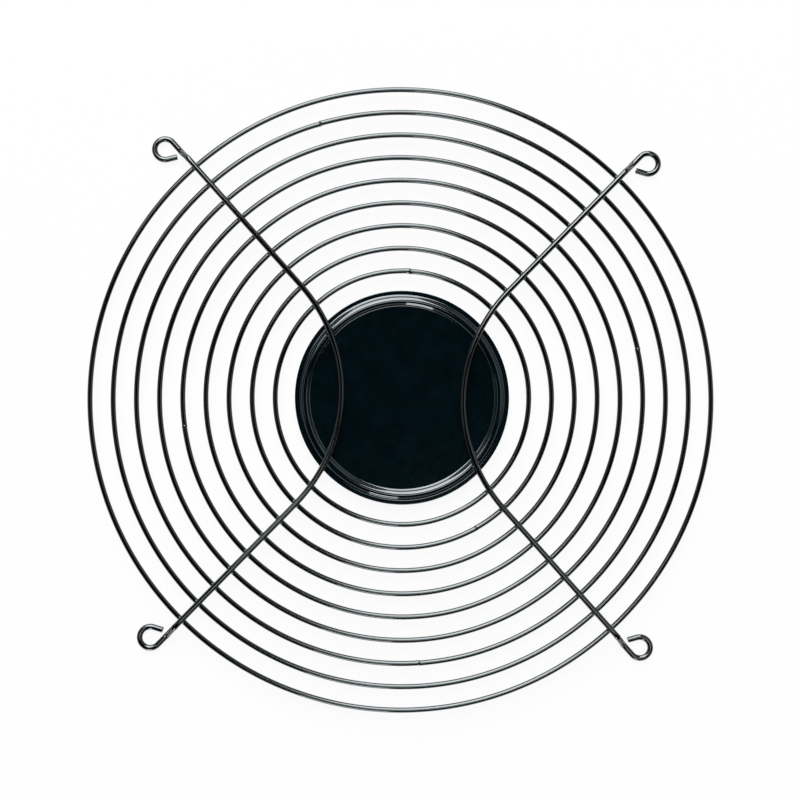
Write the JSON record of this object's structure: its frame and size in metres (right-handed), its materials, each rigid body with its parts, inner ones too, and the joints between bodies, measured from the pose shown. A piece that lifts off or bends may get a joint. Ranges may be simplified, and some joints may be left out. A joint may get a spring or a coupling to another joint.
{
  "type": "wire fan guard",
  "caption": "Round black wire finger guard for an axial fan: concentric ring wires and a beaded hub disc on two bowed spokes ending in open screw eyes.",
  "frame": {"origin": "centre of the square of four eyes, in the mounting plane that the eyes' undersides rest on", "axes": "+Z outwards, away from the fan; +X and +Y along the sides of the square of eyes, with the two spokes bowed towards each other across X"},
  "size_m": [0.24, 0.24, 0.0072],
  "materials": {
    "coated_wire": "semi-gloss black electrocoat on drawn steel wire",
    "coated_sheet": "satin black electrocoat on stamped steel sheet"
  },
  "bodies": {
    "root": {"ring_wire_1": "coated_wire", "ring_wire_2": "coated_wire", "ring_wire_3": "coated_wire", "ring_wire_4": "coated_wire", "ring_wire_5": "coated_wire", "ring_wire_6": "coated_wire", "ring_wire_7": "coated_wire", "ring_wire_8": "coated_wire", "ring_wire_9": "coated_wire", "spoke_wire_left": "coated_wire", "spoke_wire_right": "coated_wire", "hub_disc": "coated_sheet"}
  },
  "joints": []
}
